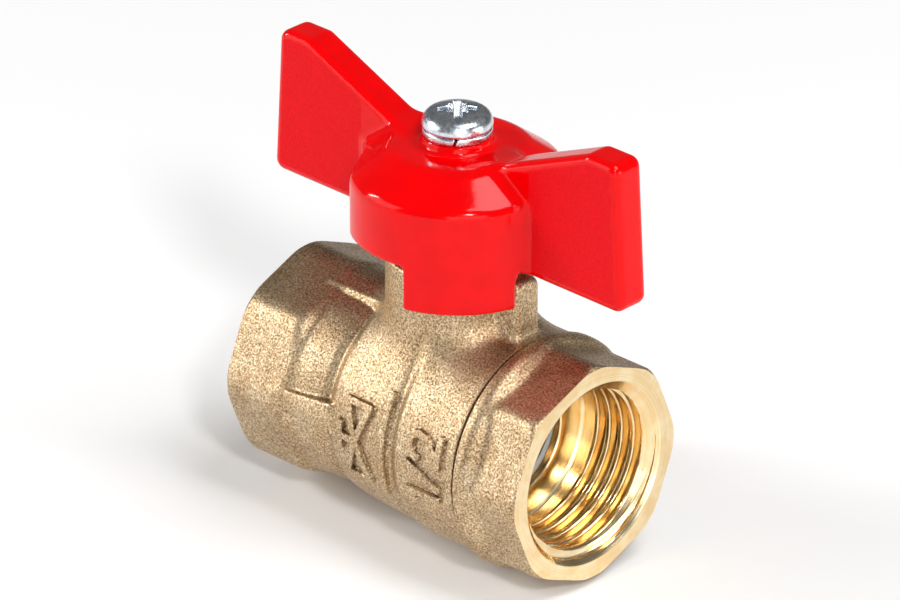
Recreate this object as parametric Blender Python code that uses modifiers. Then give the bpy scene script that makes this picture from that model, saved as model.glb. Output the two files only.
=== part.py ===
"""Half-inch brass ball valve with a butterfly handle, modelled as an assembly of separate pieces.

Metres, +Z up. The origin is the centre of the ball, where the pipe axis (X) meets the stem axis (Z).
The valve stands open: the bore of the ball and the wings of the handle lie along X.
"""

from math import asin, cos, pi, radians, sin

import bmesh
import bpy
from mathutils import Vector

MM = 0.001

# --- Driving dimensions -------------------------------------------------------------------------
RUNNING_GAP = 0.3 * MM          # space left between neighbouring pieces
MERGE_DISTANCE = 0.001 * MM
OVERSHOOT = 1.0 * MM            # how far cutters run past the face they cut

INLET_X = -23.8 * MM            # end face of the body
OUTLET_X = 21.2 * MM            # end face of the end connector
SEAM_X = 12.4 * MM              # where the end connector meets the body
PORT_RADIUS = 6.75 * MM         # bore through the ball and behind the seats
THREAD_MINOR_RADIUS = 9.3 * MM  # crest of the G 1/2 internal thread
MOUTH_RADIUS = 10.6 * MM        # chamfer at the mouth of each socket
RELIEF_RADIUS = 10.3 * MM       # plain groove behind the thread
THREAD_END = 12.2 * MM          # distance of the last full thread from the ball centre
SHOULDER_X = 9.7 * MM           # bottom of each socket

OCTAGON_ACROSS_FLATS = 25.0 * MM
OCTAGON_CORNER_RADIUS = 13.2 * MM   # the corners are turned down to this
OCTAGON_MOUTH_RADIUS = 12.9 * MM    # and chamfered to this at the end face
OCTAGON_CHAMFER_SLOPE = 1.5
OCTAGON_INLET_ROOT = 14.6 * MM      # where the flats run into the body
OCTAGON_OUTLET_ROOT = 14.0 * MM     # and into the connector's flange
BARREL_RADIUS = 13.9 * MM
WAIST_RADIUS = 11.8 * MM
BARREL_PROFILE = [                  # (radius, x) of the casting between the seam and the waist
    (BARREL_RADIUS, 11.0 * MM), (13.4 * MM, 4.6 * MM), (12.9 * MM, 0.5 * MM),
    (12.6 * MM, -5.0 * MM), (12.3 * MM, -9.6 * MM), (WAIST_RADIUS, -11.4 * MM)]
WAIST_END = -18.0 * MM
FLANGE_SHOULDER = [                 # (radius, x) of the connector's flange, stepping down
    (12.6 * MM, 15.4 * MM), (13.5 * MM, 14.6 * MM), (BARREL_RADIUS, 13.6 * MM)]

NECK_RADIUS = 8.1 * MM
NECK_TOP = 20.6 * MM
NECK_FOOT = [                       # (radius, height) of the flare where the neck meets the barrel
    (NECK_RADIUS, 14.6 * MM), (9.2 * MM, 13.0 * MM), (10.4 * MM, 10.0 * MM)]
NECK_ROOT = 9.0 * MM
LUG_ROOT = 7.0 * MM
LUG_REACH = 12.0 * MM
LUG_HALF_WIDTH = 2.3 * MM
LUG_BOTTOM = 11.0 * MM
LUG_TOP = NECK_TOP - 0.1 * MM
STEM_BORE_BOTTOM = 8.0 * MM

BALL_RADIUS = 10.2 * MM
SLOT_WIDTH = 4.4 * MM
SLOT_FLOOR = 7.5 * MM
CHAMBER_RADIUS = 10.8 * MM
CHAMBER_HALF_LENGTH = 5.2 * MM
SEAT_INNER_RADIUS = 7.0 * MM
SEAT_OUTER_RADIUS = 9.2 * MM
SEAT_LIP_RADIUS = 8.94 * MM      # outer edge of the face that follows the ball
SEAT_BACK = 8.4 * MM
SPIGOT_RADIUS = 12.1 * MM

STEM_RADIUS = 4.0 * MM
STEM_COLLAR_RADIUS = 5.0 * MM
STEM_COLLAR_BOTTOM = 10.5 * MM
STEM_COLLAR_TOP = 12.2 * MM
STEM_TOP = 33.0 * MM
STEM_RIM_CHAMFER = 0.4 * MM
STEM_FLAT_HALF_WIDTH = 3.0 * MM
STEM_FLAT_BOTTOM = 25.0 * MM
TANG_HALF_LENGTH = 4.6 * MM
THRUST_WASHER_THICKNESS = 0.8 * MM
O_RING_SECTION = 0.42 * MM
O_RING_CENTRE_RADIUS = STEM_RADIUS - 0.24 * MM
GROOVE_RADIUS = STEM_RADIUS - 1.0 * MM
GROOVE_SIDE_GAP = 0.12 * MM
O_RING_HEIGHTS = {"stem_o_ring_lower": 14.6 * MM, "stem_o_ring_upper": 16.1 * MM}
PACKING_FLOOR = 17.0 * MM
PACKING_RADIUS = 5.6 * MM
PACKING_HEIGHT = 1.4 * MM
GLAND_NUT_ACROSS_FLATS = 12.6 * MM
GLAND_NUT_HEIGHT = 2.0 * MM
GLAND_SKIRT_OVERLAP = 0.5 * MM   # how far the nut's skirt runs up into its head

HUB_RADIUS = 12.2 * MM
HUB_HOLLOW_RADIUS = 10.6 * MM
HUB_RIM = 23.6 * MM
HUB_SHOULDER = 30.6 * MM
HUB_SHOULDER_ROUNDING = [        # (radius, height) offsets from the sharp shoulder edge
    (-0.7 * MM, 0.5 * MM), (0.0, -0.3 * MM)]
HUB_WEB_BOTTOM = 29.0 * MM
PLATEAU = 33.9 * MM
PLATEAU_RADIUS = 7.6 * MM
BOSS_RADIUS = 3.9 * MM
BOSS_TOP = 35.0 * MM
STOP_SKIRT_BOTTOM = 18.3 * MM
STOP_SKIRT_MIDDLES = {"open_stop_skirt": radians(-45), "closed_stop_skirt": radians(135)}
STOP_SKIRT_HALF_SPAN = radians(31)
WING_THICKNESS = 4.4 * MM
WING_TIP_BOTTOM = 27.0 * MM
WING_TIP_TOP = 25.9 * MM
WING_CREST_START = 21.4 * MM
WING_ROOT = 8.3 * MM
WING_INSIDE = 7.3 * MM           # how far the wings run into the hub
WING_BOTTOM = 22.4 * MM
WING_INSIDE_BOTTOM = 24.0 * MM
WING_INSIDE_TOP = 32.9 * MM
WING_ROOT_TOP = 34.5 * MM
WING_TOP = 40.1 * MM
WING_EDGE_RADIUS = 0.8 * MM
WING_RIM_CORNER = 0.8 * MM       # corner radii seen from the side
WING_BOTTOM_CORNER = 1.2 * MM
WING_TOP_CORNER = 1.6 * MM
WING_CREST_CORNER = 4.0 * MM
WING_ROOT_CORNER = 1.0 * MM

SCREW_RADIUS = 1.9 * MM
SCREW_TIP = 25.6 * MM
SCREW_TIP_CHAMFER = 0.6 * MM
SCREW_CROWN = [                  # (share of head radius, share of head height from the top)
    (0.5, 0.04), (0.82, 0.2), (0.96, 0.42), (1.0, 0.65)]
TAPPED_HOLE_GAP = 0.2 * MM
SCREW_HEAD_RADIUS = 4.0 * MM
SCREW_HEAD_HEIGHT = 2.0 * MM
RECESS_ARM_WIDTH = 0.9 * MM
RECESS_SPAN = 4.4 * MM
RECESS_DEPTH = 1.2 * MM
SPRING_WASHER_RADIUS = 3.9 * MM
SPRING_WASHER_INNER_RADIUS = 2.3 * MM
SPRING_WASHER_THICKNESS = 0.9 * MM
SPRING_WASHER_SPLIT = 0.5 * MM
SPRING_WASHER_SPLIT_TURN = radians(45)

ROUND_STEPS = 48
SMALL_ROUND_STEPS = 32
SCREW_STEPS = 24
O_RING_SIDES = 8
SEAT_ARC_STEPS = 5
SECTOR_STEPS = 8
CORNER_STEPS = 4
BEVEL_SEGMENTS = 2
BALL_SEGMENTS = 40
FLAT_SHADING_ANGLE = radians(35)
O_RING_SHADING_ANGLE = radians(80)
WING_BEVEL_ANGLE = radians(60)

# colour, metallic, roughness
FINISHES = {
    "cast_brass": ((0.62, 0.43, 0.20), 0.9, 0.42),
    "machined_brass": ((0.80, 0.58, 0.26), 1.0, 0.2),
    "chrome_plate": ((0.78, 0.79, 0.80), 1.0, 0.08),
    "white_ptfe": ((0.88, 0.88, 0.86), 0.0, 0.45),
    "black_rubber": ((0.02, 0.02, 0.022), 0.0, 0.6),
    "red_coating": ((0.80, 0.012, 0.015), 0.0, 0.22),
    "zinc_plate": ((0.66, 0.69, 0.74), 1.0, 0.25),
}


# --- Scene and small helpers --------------------------------------------------------------------
def clear_scene():
    for old in list(bpy.data.objects):
        bpy.data.objects.remove(old, do_unlink=True)


def new_collection(name):
    collection = bpy.data.collections.new(name)
    bpy.context.scene.collection.children.link(collection)
    return collection


def finish_material(node_name, finish):
    colour, metallic, roughness = FINISHES[finish]
    material = bpy.data.materials.new(node_name + "_" + finish)
    material.use_nodes = True
    shader = material.node_tree.nodes["Principled BSDF"]
    shader.inputs["Base Color"].default_value = (*colour, 1.0)
    shader.inputs["Metallic"].default_value = metallic
    shader.inputs["Roughness"].default_value = roughness
    return material


def mesh_object(name, fill):
    """A new object whose mesh is built by fill(bmesh)."""
    mesh = bpy.data.meshes.new(name)
    build = bmesh.new()
    fill(build)
    build.to_mesh(mesh)
    build.free()
    return bpy.data.objects.new(name, mesh)


def make_cutter(obj):
    CUTTERS.objects.link(obj)
    obj.hide_render = True
    obj.display_type = "WIRE"
    return obj


def make_piece(obj, finish):
    VALVE.objects.link(obj)
    obj.data.materials.append(finish_material(obj.name, finish))
    return obj


def boolean(obj, other, operation):
    modifier = obj.modifiers.new(operation.lower(), "BOOLEAN")
    modifier.operation = operation
    modifier.solver = "EXACT"
    modifier.object = other


def along_pipe(obj):
    """Turn a shape made about Z so that its +Z end points along +X."""
    obj.rotation_euler = (0.0, pi / 2, 0.0)
    return obj


def facing_inlet(obj):
    """Turn a shape made about Z so that its +Z end points along -X."""
    obj.rotation_euler = (0.0, -pi / 2, 0.0)
    return obj


def turned(name, profile, steps=ROUND_STEPS, closed=False):
    """A turned shape about Z. profile is (radius, height) down the outer side, top to bottom."""

    def fill(build):
        points = [build.verts.new((radius, 0.0, height)) for radius, height in profile]
        for start, end in zip(points, points[1:]):
            build.edges.new((start, end))
        if closed:
            build.edges.new((points[-1], points[0]))

    obj = mesh_object(name, fill)
    screw = obj.modifiers.new("turn", "SCREW")
    screw.steps = steps
    screw.render_steps = steps
    screw.use_merge_vertices = True
    screw.merge_threshold = MERGE_DISTANCE
    screw.use_smooth_shade = True
    return obj


def box(name, low, high):
    centre = (Vector(low) + Vector(high)) / 2
    size = Vector(high) - Vector(low)

    def fill(build):
        bmesh.ops.create_cube(build, size=1.0)
        bmesh.ops.scale(build, vec=size, verts=build.verts)
        bmesh.ops.translate(build, vec=centre, verts=build.verts)

    return mesh_object(name, fill)


def prism(name, across_flats, bottom, top, sides):
    """An upright prism about Z with one corner at +Y."""
    corner_radius = across_flats / 2 / cos(pi / sides)

    def fill(build):
        bmesh.ops.create_cone(
            build, cap_ends=True, segments=sides, radius1=corner_radius, radius2=corner_radius,
            depth=top - bottom)
        bmesh.ops.translate(build, vec=(0.0, 0.0, (top + bottom) / 2), verts=build.verts)

    return mesh_object(name, fill)


def extruded(name, outline, thickness):
    """A flat plate: the outline in XZ, centred on Y = 0."""

    def fill(build):
        face = build.faces.new([build.verts.new((x, -thickness / 2, z)) for x, z in outline])
        sweep = bmesh.ops.extrude_face_region(build, geom=[face])
        moved = [item for item in sweep["geom"] if isinstance(item, bmesh.types.BMVert)]
        bmesh.ops.translate(build, vec=(0.0, thickness, 0.0), verts=moved)
        bmesh.ops.recalc_face_normals(build, faces=build.faces)

    return mesh_object(name, fill)


def shade(obj, angle=FLAT_SHADING_ANGLE):
    obj.data.shade_smooth()
    obj.data.set_sharp_from_angle(angle=angle)


# --- The two halves of the pressure casing ------------------------------------------------------
def socket_profile(mouth):
    """Cutter profile of a threaded socket, from past its mouth down to the seat pocket floor."""
    chamfer = MOUTH_RADIUS - THREAD_MINOR_RADIUS
    past = mouth + OVERSHOOT
    relief_end = THREAD_END - (RELIEF_RADIUS - THREAD_MINOR_RADIUS)
    return [
        (0.0, past), (MOUTH_RADIUS, past), (MOUTH_RADIUS, mouth),
        (THREAD_MINOR_RADIUS, mouth - chamfer), (THREAD_MINOR_RADIUS, THREAD_END),
        (RELIEF_RADIUS, relief_end), (RELIEF_RADIUS, SHOULDER_X), (PORT_RADIUS, SHOULDER_X)]


def octagon_end(name, mouth, inner, place):
    """Octagonal spanner flats, with the corners turned down and chamfered at the end face."""
    octagon = place(prism(name, OCTAGON_ACROSS_FLATS, inner, mouth, 8))
    chamfer_start = mouth - (OCTAGON_CORNER_RADIUS - OCTAGON_MOUTH_RADIUS) * OCTAGON_CHAMFER_SLOPE
    envelope = turned(name + "_envelope", [
        (0.0, mouth + OVERSHOOT), (OCTAGON_MOUTH_RADIUS - OVERSHOOT, mouth + OVERSHOOT),
        (OCTAGON_MOUTH_RADIUS, mouth), (OCTAGON_CORNER_RADIUS, chamfer_start),
        (OCTAGON_CORNER_RADIUS, inner - OVERSHOOT), (0.0, inner - OVERSHOOT)])
    boolean(octagon, make_cutter(place(envelope)), "INTERSECT")
    return make_cutter(octagon)


def body():
    """Cast body: inlet socket, ball chamber, neck with the stop lug, counterbore for the connector."""
    outer = along_pipe(turned(
        "body", [(0.0, SEAM_X), (BARREL_RADIUS, SEAM_X)] + BARREL_PROFILE
        + [(WAIST_RADIUS, WAIST_END), (0.0, WAIST_END)]))

    inlet = octagon_end("body_inlet_octagon", -INLET_X, OCTAGON_INLET_ROOT, facing_inlet)
    boolean(outer, inlet, "UNION")

    neck = turned(
        "body_neck", [(0.0, NECK_TOP), (NECK_RADIUS, NECK_TOP)] + NECK_FOOT + [(0.0, NECK_ROOT)])
    boolean(outer, make_cutter(neck), "UNION")
    lug = box(
        "body_stop_lug", (LUG_ROOT, -LUG_HALF_WIDTH, LUG_BOTTOM),
        (LUG_REACH, LUG_HALF_WIDTH, LUG_TOP))
    boolean(outer, make_cutter(lug), "UNION")

    past_seam = SEAM_X + OVERSHOOT
    counterbore_radius = SPIGOT_RADIUS + RUNNING_GAP
    pocket_radius = SEAT_OUTER_RADIUS + RUNNING_GAP
    pocket_floor = SEAT_BACK + RUNNING_GAP
    chamber = along_pipe(turned("body_chamber", [
        (0.0, past_seam), (counterbore_radius, past_seam),
        (counterbore_radius, CHAMBER_HALF_LENGTH), (CHAMBER_RADIUS, CHAMBER_HALF_LENGTH),
        (CHAMBER_RADIUS, -CHAMBER_HALF_LENGTH), (pocket_radius, -CHAMBER_HALF_LENGTH),
        (pocket_radius, -pocket_floor), (0.0, -pocket_floor)]))
    boolean(outer, make_cutter(chamber), "DIFFERENCE")

    socket = turned("body_inlet_socket", socket_profile(-INLET_X) + [
        (PORT_RADIUS, SEAT_BACK), (0.0, SEAT_BACK)])
    boolean(outer, make_cutter(facing_inlet(socket)), "DIFFERENCE")

    washer_ceiling = STEM_COLLAR_TOP + THRUST_WASHER_THICKNESS + 2 * RUNNING_GAP
    past_neck = NECK_TOP + OVERSHOOT
    stem_bore = turned("body_stem_bore", [
        (0.0, past_neck), (PACKING_RADIUS + RUNNING_GAP, past_neck),
        (PACKING_RADIUS + RUNNING_GAP, PACKING_FLOOR), (STEM_RADIUS + RUNNING_GAP, PACKING_FLOOR),
        (STEM_RADIUS + RUNNING_GAP, washer_ceiling),
        (STEM_COLLAR_RADIUS + RUNNING_GAP, washer_ceiling),
        (STEM_COLLAR_RADIUS + RUNNING_GAP, STEM_BORE_BOTTOM), (0.0, STEM_BORE_BOTTOM)],
        SMALL_ROUND_STEPS)
    boolean(outer, make_cutter(stem_bore), "DIFFERENCE")
    shade(outer)
    return make_piece(outer, "cast_brass")


def end_connector():
    """Screwed-in end: octagon and outlet socket outside, a spigot that holds the outlet seat inside."""
    flange_back = SEAM_X + RUNNING_GAP
    spigot_end = CHAMBER_HALF_LENGTH + RUNNING_GAP
    outer = along_pipe(turned(
        "end_connector", [(0.0, FLANGE_SHOULDER[0][1])] + FLANGE_SHOULDER + [
            (BARREL_RADIUS, flange_back), (SPIGOT_RADIUS, flange_back),
            (SPIGOT_RADIUS, spigot_end), (0.0, spigot_end)]))
    octagon = octagon_end("end_connector_octagon", OUTLET_X, OCTAGON_OUTLET_ROOT, along_pipe)
    boolean(outer, octagon, "UNION")
    pocket_radius = SEAT_OUTER_RADIUS + RUNNING_GAP
    pocket_floor = SEAT_BACK + RUNNING_GAP
    past_spigot = spigot_end - OVERSHOOT
    bore = along_pipe(turned("end_connector_bore", socket_profile(OUTLET_X) + [
        (PORT_RADIUS, pocket_floor), (pocket_radius, pocket_floor), (pocket_radius, past_spigot),
        (0.0, past_spigot)]))
    boolean(outer, make_cutter(bore), "DIFFERENCE")
    shade(outer)
    return make_piece(outer, "cast_brass")


# --- Ball and seats -----------------------------------------------------------------------------
def ball():
    """Chromed ball with a through bore along X and a drive slot along Y on top."""

    def fill(build):
        bmesh.ops.create_uvsphere(
            build, u_segments=BALL_SEGMENTS, v_segments=BALL_SEGMENTS // 2, radius=BALL_RADIUS)

    sphere = mesh_object("ball", fill)
    reach = BALL_RADIUS + OVERSHOOT
    bore = along_pipe(turned("ball_bore", [
        (0.0, reach), (PORT_RADIUS, reach), (PORT_RADIUS, -reach), (0.0, -reach)]))
    boolean(sphere, make_cutter(bore), "DIFFERENCE")
    slot = box("ball_slot", (-SLOT_WIDTH / 2, -reach, SLOT_FLOOR), (SLOT_WIDTH / 2, reach, reach))
    boolean(sphere, make_cutter(slot), "DIFFERENCE")
    shade(sphere)
    return make_piece(sphere, "chrome_plate")


def seat_ring(name, side):
    """Seat ring whose front face follows the ball."""
    face_radius = BALL_RADIUS + RUNNING_GAP
    start = asin(SEAT_LIP_RADIUS / face_radius)
    end = asin(SEAT_INNER_RADIUS / face_radius)
    angles = [
        start + (end - start) * step / SEAT_ARC_STEPS for step in range(SEAT_ARC_STEPS + 1)]
    face = [(face_radius * sin(angle), face_radius * cos(angle)) for angle in angles]
    profile = [
        (SEAT_INNER_RADIUS, SEAT_BACK), (SEAT_OUTER_RADIUS, SEAT_BACK),
        (SEAT_OUTER_RADIUS, face[0][1])] + face
    ring = turned(name, profile, closed=True)
    ring.rotation_euler = (0.0, side * pi / 2, 0.0)
    shade(ring)
    return make_piece(ring, "white_ptfe")


# --- Stem and its seals -------------------------------------------------------------------------
def stem():
    """Blow-out proof stem: tang, collar, two seal grooves, double-D top tapped for the screw."""
    groove_half = O_RING_SECTION + GROOVE_SIDE_GAP
    profile = [
        (0.0, STEM_TOP), (STEM_RADIUS - STEM_RIM_CHAMFER, STEM_TOP),
        (STEM_RADIUS, STEM_TOP - STEM_RIM_CHAMFER)]
    for height in sorted(O_RING_HEIGHTS.values(), reverse=True):
        profile += [
            (STEM_RADIUS, height + groove_half), (GROOVE_RADIUS, height + groove_half),
            (GROOVE_RADIUS, height - groove_half), (STEM_RADIUS, height - groove_half)]
    profile += [
        (STEM_RADIUS, STEM_COLLAR_TOP), (STEM_COLLAR_RADIUS, STEM_COLLAR_TOP),
        (STEM_COLLAR_RADIUS, STEM_COLLAR_BOTTOM), (0.0, STEM_COLLAR_BOTTOM)]
    shaft = turned("stem", profile, SMALL_ROUND_STEPS)

    tang_half_width = SLOT_WIDTH / 2 - RUNNING_GAP
    tang = box(
        "stem_tang", (-tang_half_width, -TANG_HALF_LENGTH, SLOT_FLOOR + RUNNING_GAP),
        (tang_half_width, TANG_HALF_LENGTH, (STEM_COLLAR_BOTTOM + STEM_COLLAR_TOP) / 2))
    boolean(shaft, make_cutter(tang), "UNION")
    for side in (1, -1):
        edges = sorted((side * STEM_FLAT_HALF_WIDTH, side * 2 * STEM_RADIUS))
        flat = box(
            "stem_flat_back" if side > 0 else "stem_flat_front",
            (-2 * STEM_RADIUS, edges[0], STEM_FLAT_BOTTOM),
            (2 * STEM_RADIUS, edges[1], STEM_TOP + OVERSHOOT))
        boolean(shaft, make_cutter(flat), "DIFFERENCE")
    hole_radius = SCREW_RADIUS + TAPPED_HOLE_GAP
    hole_bottom = SCREW_TIP - OVERSHOOT
    past_top = STEM_TOP + OVERSHOOT
    hole = turned("stem_tapped_hole", [
        (0.0, past_top), (hole_radius, past_top), (hole_radius, hole_bottom),
        (0.0, hole_bottom - OVERSHOOT)], SCREW_STEPS)
    boolean(shaft, make_cutter(hole), "DIFFERENCE")
    shade(shaft)
    return make_piece(shaft, "machined_brass")


def flat_ring(name, inner, outer, bottom, thickness, finish):
    top = bottom + thickness
    ring = turned(
        name, [(inner, top), (outer, top), (outer, bottom), (inner, bottom)], SMALL_ROUND_STEPS,
        closed=True)
    shade(ring)
    return make_piece(ring, finish)


def o_ring(name, height):
    """Round-section ring in its stem groove."""
    angles = [-2 * pi * step / O_RING_SIDES for step in range(O_RING_SIDES)]
    profile = [
        (O_RING_CENTRE_RADIUS + O_RING_SECTION * cos(angle), height + O_RING_SECTION * sin(angle))
        for angle in angles]
    ring = turned(name, profile, SMALL_ROUND_STEPS, closed=True)
    shade(ring, O_RING_SHADING_ANGLE)
    return make_piece(ring, "black_rubber")


def gland_nut():
    """Hexagon gland nut screwed into the neck, pressing on the packing."""
    skirt_bottom = PACKING_FLOOR + PACKING_HEIGHT + 2 * RUNNING_GAP
    head_bottom = NECK_TOP + RUNNING_GAP
    inside_head = head_bottom + GLAND_SKIRT_OVERLAP
    nut = prism("gland_nut", GLAND_NUT_ACROSS_FLATS, head_bottom, head_bottom + GLAND_NUT_HEIGHT, 6)
    skirt = turned("gland_nut_skirt", [
        (0.0, inside_head), (PACKING_RADIUS, inside_head), (PACKING_RADIUS, skirt_bottom),
        (0.0, skirt_bottom)], SMALL_ROUND_STEPS)
    boolean(nut, make_cutter(skirt), "UNION")
    hole_radius = STEM_RADIUS + RUNNING_GAP
    hole = turned("gland_nut_hole", [
        (0.0, HUB_WEB_BOTTOM), (hole_radius, HUB_WEB_BOTTOM), (hole_radius, STEM_COLLAR_TOP),
        (0.0, STEM_COLLAR_TOP)], SMALL_ROUND_STEPS)
    boolean(nut, make_cutter(hole), "DIFFERENCE")
    shade(nut)
    return make_piece(nut, "machined_brass")


# --- Handle -------------------------------------------------------------------------------------
def rounded_outline(corners):
    """Outline through the corners (x, z, radius), each corner an arc of its own radius."""
    outline = []
    for index, (x, z, radius) in enumerate(corners):
        here = Vector((x, z))
        before = (Vector(corners[index - 1][:2]) - here).normalized()
        after = (Vector(corners[(index + 1) % len(corners)][:2]) - here).normalized()
        if radius == 0:
            outline.append(here)
            continue
        half = before.angle(after) / 2
        middle = here + (before + after).normalized() * radius / sin(half)
        start = here + before * radius * cos(half) / sin(half) - middle
        end = here + after * radius * cos(half) / sin(half) - middle
        sweep = end.angle_signed(start)
        for step in range(CORNER_STEPS + 1):
            angle = sweep * step / CORNER_STEPS
            outline.append(middle + Vector((
                start.x * cos(angle) - start.y * sin(angle),
                start.x * sin(angle) + start.y * cos(angle))))
    return outline


def wing(name, side):
    """One wing of the butterfly: a plate in the XZ plane that widens upward and outward."""
    corners = [
        (WING_INSIDE, WING_INSIDE_BOTTOM, 0.0), (HUB_RADIUS, WING_BOTTOM, WING_RIM_CORNER),
        (WING_TIP_BOTTOM, WING_BOTTOM, WING_BOTTOM_CORNER),
        (WING_TIP_TOP, WING_TOP, WING_TOP_CORNER),
        (WING_CREST_START, WING_TOP, WING_CREST_CORNER),
        (WING_ROOT, WING_ROOT_TOP, WING_ROOT_CORNER), (WING_INSIDE, WING_INSIDE_TOP, 0.0)]
    outline = [(side * point.x, point.y) for point in rounded_outline(corners)]
    plate = extruded(name, outline, WING_THICKNESS)
    bevel = plate.modifiers.new("edge", "BEVEL")
    bevel.width = WING_EDGE_RADIUS
    bevel.segments = BEVEL_SEGMENTS
    bevel.limit_method = "ANGLE"
    bevel.angle_limit = WING_BEVEL_ANGLE
    return plate


def sector(name, radius, start, end, bottom, top):
    """An upright wedge about the stem axis, from the angle start round to the angle end."""
    angles = [start + (end - start) * step / SECTOR_STEPS for step in range(SECTOR_STEPS + 1)]
    outline = [(0.0, 0.0)] + [(radius * cos(angle), radius * sin(angle)) for angle in angles]

    def fill(build):
        face = build.faces.new([build.verts.new((x, y, bottom)) for x, y in outline])
        sweep = bmesh.ops.extrude_face_region(build, geom=[face])
        moved = [item for item in sweep["geom"] if isinstance(item, bmesh.types.BMVert)]
        bmesh.ops.translate(build, vec=(0.0, 0.0, top - bottom), verts=moved)
        bmesh.ops.recalc_face_normals(build, faces=build.faces)

    return mesh_object(name, fill)


def handle():
    """Butterfly handle: hub, two wings, a boss for the screw and two stop skirts below the rim."""
    shoulder = [(HUB_RADIUS + out, HUB_SHOULDER + up) for out, up in HUB_SHOULDER_ROUNDING]
    hub = turned("handle", [
        (0.0, BOSS_TOP), (BOSS_RADIUS, BOSS_TOP), (BOSS_RADIUS, PLATEAU), (PLATEAU_RADIUS, PLATEAU)]
        + shoulder + [(HUB_RADIUS, STOP_SKIRT_BOTTOM), (0.0, STOP_SKIRT_BOTTOM)])
    for name, middle in STOP_SKIRT_MIDDLES.items():
        between = sector(
            name + "_end", 2 * HUB_RADIUS, middle + STOP_SKIRT_HALF_SPAN,
            middle - STOP_SKIRT_HALF_SPAN + pi, 0.0, HUB_RIM)
        boolean(hub, make_cutter(between), "DIFFERENCE")
    for side in (1, -1):
        boolean(hub, make_cutter(wing("wing_outlet" if side > 0 else "wing_inlet", side)), "UNION")
    past_skirt = STOP_SKIRT_BOTTOM - OVERSHOOT
    hollow = turned("hub_hollow", [
        (0.0, HUB_WEB_BOTTOM), (HUB_HOLLOW_RADIUS, HUB_WEB_BOTTOM),
        (HUB_HOLLOW_RADIUS, past_skirt), (0.0, past_skirt)])
    boolean(hub, make_cutter(hollow), "DIFFERENCE")

    socket_radius = STEM_RADIUS + RUNNING_GAP
    socket_half_width = STEM_FLAT_HALF_WIDTH + RUNNING_GAP
    socket_top = STEM_TOP + RUNNING_GAP
    stem_socket = turned("handle_stem_socket", [
        (0.0, socket_top), (socket_radius, socket_top), (socket_radius, HUB_RIM), (0.0, HUB_RIM)],
        SMALL_ROUND_STEPS)
    socket_flats = box(
        "handle_stem_flats", (-HUB_RADIUS, -socket_half_width, STOP_SKIRT_BOTTOM),
        (HUB_RADIUS, socket_half_width, BOSS_TOP + OVERSHOOT))
    boolean(stem_socket, make_cutter(socket_flats), "INTERSECT")
    boolean(hub, make_cutter(stem_socket), "DIFFERENCE")
    hole_radius = SCREW_RADIUS + RUNNING_GAP
    past_boss = BOSS_TOP + OVERSHOOT
    screw_hole = turned("handle_screw_hole", [
        (0.0, past_boss), (hole_radius, past_boss), (hole_radius, STEM_TOP), (0.0, STEM_TOP)],
        SCREW_STEPS)
    boolean(hub, make_cutter(screw_hole), "DIFFERENCE")
    shade(hub)
    return make_piece(hub, "red_coating")


def handle_spring_washer():
    """Split spring washer under the screw head."""
    bottom = BOSS_TOP + RUNNING_GAP
    top = bottom + SPRING_WASHER_THICKNESS
    ring = turned("handle_spring_washer", [
        (SPRING_WASHER_INNER_RADIUS, top), (SPRING_WASHER_RADIUS, top),
        (SPRING_WASHER_RADIUS, bottom), (SPRING_WASHER_INNER_RADIUS, bottom)],
        SMALL_ROUND_STEPS, closed=True)
    split = box(
        "spring_washer_split",
        (-SPRING_WASHER_SPLIT / 2, -2 * SPRING_WASHER_RADIUS, bottom - OVERSHOOT),
        (SPRING_WASHER_SPLIT / 2, 0.0, top + OVERSHOOT))
    split.rotation_euler = (0.0, 0.0, SPRING_WASHER_SPLIT_TURN)
    boolean(ring, make_cutter(split), "DIFFERENCE")
    shade(ring)
    return make_piece(ring, "zinc_plate")


def handle_screw():
    """Pan head screw with a cross recess, clamping the handle on the stem."""
    head_bottom = BOSS_TOP + SPRING_WASHER_THICKNESS + 2 * RUNNING_GAP
    head_top = head_bottom + SCREW_HEAD_HEIGHT
    profile = [(0.0, head_top)] + [
        (SCREW_HEAD_RADIUS * across, head_top - SCREW_HEAD_HEIGHT * down)
        for across, down in SCREW_CROWN]
    screw = turned("handle_screw", profile + [
        (SCREW_HEAD_RADIUS, head_bottom), (SCREW_RADIUS, head_bottom),
        (SCREW_RADIUS, SCREW_TIP + SCREW_TIP_CHAMFER),
        (SCREW_RADIUS - SCREW_TIP_CHAMFER, SCREW_TIP),
        (0.0, SCREW_TIP)], SMALL_ROUND_STEPS)
    for index in range(2):
        arm = box(
            "screw_recess_arm_%d" % (index + 1),
            (-RECESS_SPAN / 2, -RECESS_ARM_WIDTH / 2, head_top - RECESS_DEPTH),
            (RECESS_SPAN / 2, RECESS_ARM_WIDTH / 2, head_top + OVERSHOOT))
        arm.rotation_euler = (0.0, 0.0, pi / 4 + index * pi / 2)
        boolean(screw, make_cutter(arm), "DIFFERENCE")
    shade(screw)
    return make_piece(screw, "zinc_plate")


# --- Assembly -----------------------------------------------------------------------------------
def build_valve():
    body()
    end_connector()
    seat_ring("seat_ring_inlet", -1)
    seat_ring("seat_ring_outlet", 1)
    flat_ring(
        "stem_thrust_washer", STEM_RADIUS + RUNNING_GAP, STEM_COLLAR_RADIUS,
        STEM_COLLAR_TOP + RUNNING_GAP, THRUST_WASHER_THICKNESS, "white_ptfe")
    flat_ring(
        "stem_packing", STEM_RADIUS + RUNNING_GAP, PACKING_RADIUS, PACKING_FLOOR + RUNNING_GAP,
        PACKING_HEIGHT, "white_ptfe")
    gland_nut()

    stem_axis = bpy.data.objects.new("stem_axis", None)
    VALVE.objects.link(stem_axis)
    moving = [ball(), stem(), handle(), handle_spring_washer(), handle_screw()]
    moving += [o_ring(name, height) for name, height in O_RING_HEIGHTS.items()]
    for piece in moving:
        piece.parent = stem_axis


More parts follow.
